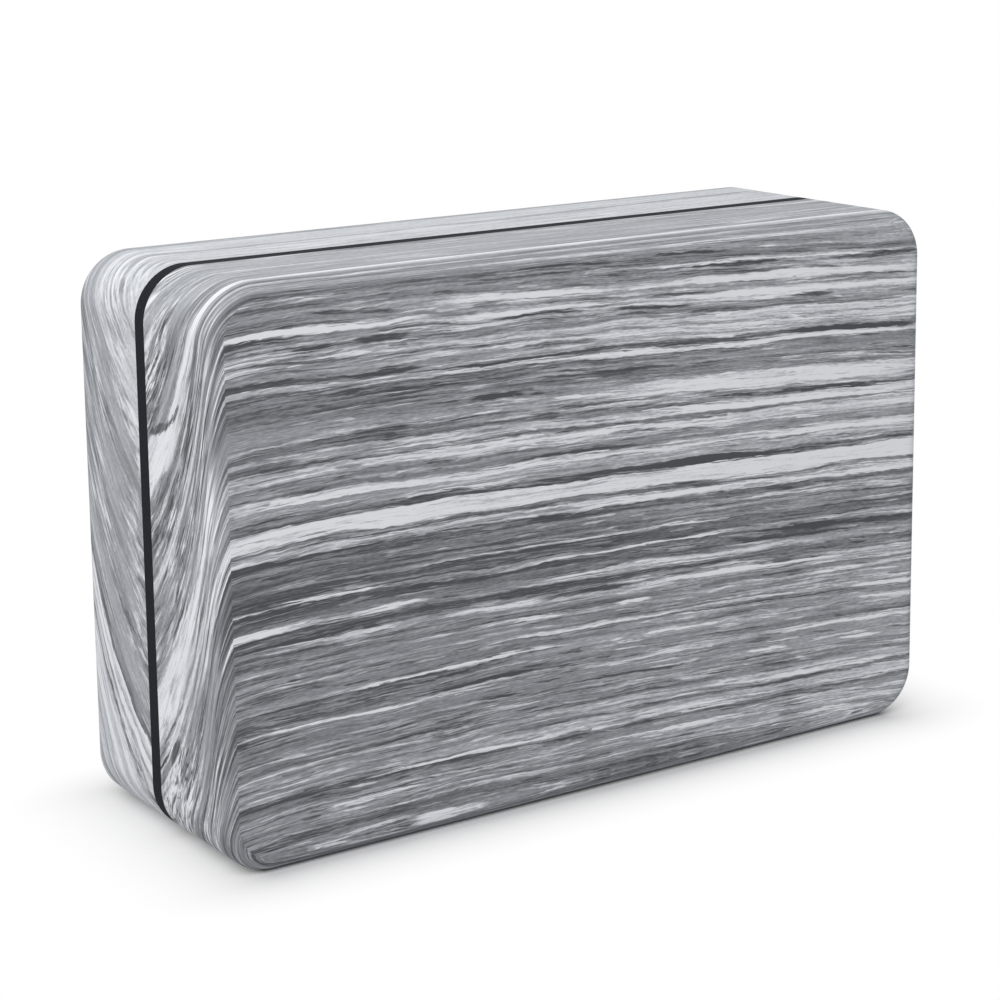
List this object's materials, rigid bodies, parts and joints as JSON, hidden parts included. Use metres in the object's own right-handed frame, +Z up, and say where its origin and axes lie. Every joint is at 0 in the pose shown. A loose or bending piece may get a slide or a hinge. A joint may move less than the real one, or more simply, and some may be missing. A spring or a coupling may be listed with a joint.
{
  "type": "yoga block",
  "caption": "Laminated foam yoga block: marbled grey slabs glued either side of a thin black core sheet, with rounded corners and edges, for support in stretches.",
  "frame": {"origin": "on the floor, under the middle of the block, at the core sheet's middle plane", "axes": "+Z up, +X along the block's length, +Y through its layers from the front slab to the rear slab"},
  "size_m": [0.23, 0.075, 0.15],
  "materials": {
    "front_marbled_foam": "matt cut closed-cell foam, marbled in light and dark grey",
    "rear_marbled_foam": "matt cut closed-cell foam, marbled in light and dark grey",
    "core_foam": "matt black closed-cell foam",
    "glue": "thin dark cured contact glue"
  },
  "bodies": {
    "root": {"front_slab": "front_marbled_foam", "front_glue_film": "glue", "core_sheet": "core_foam", "rear_glue_film": "glue", "rear_slab": "rear_marbled_foam"}
  },
  "joints": []
}
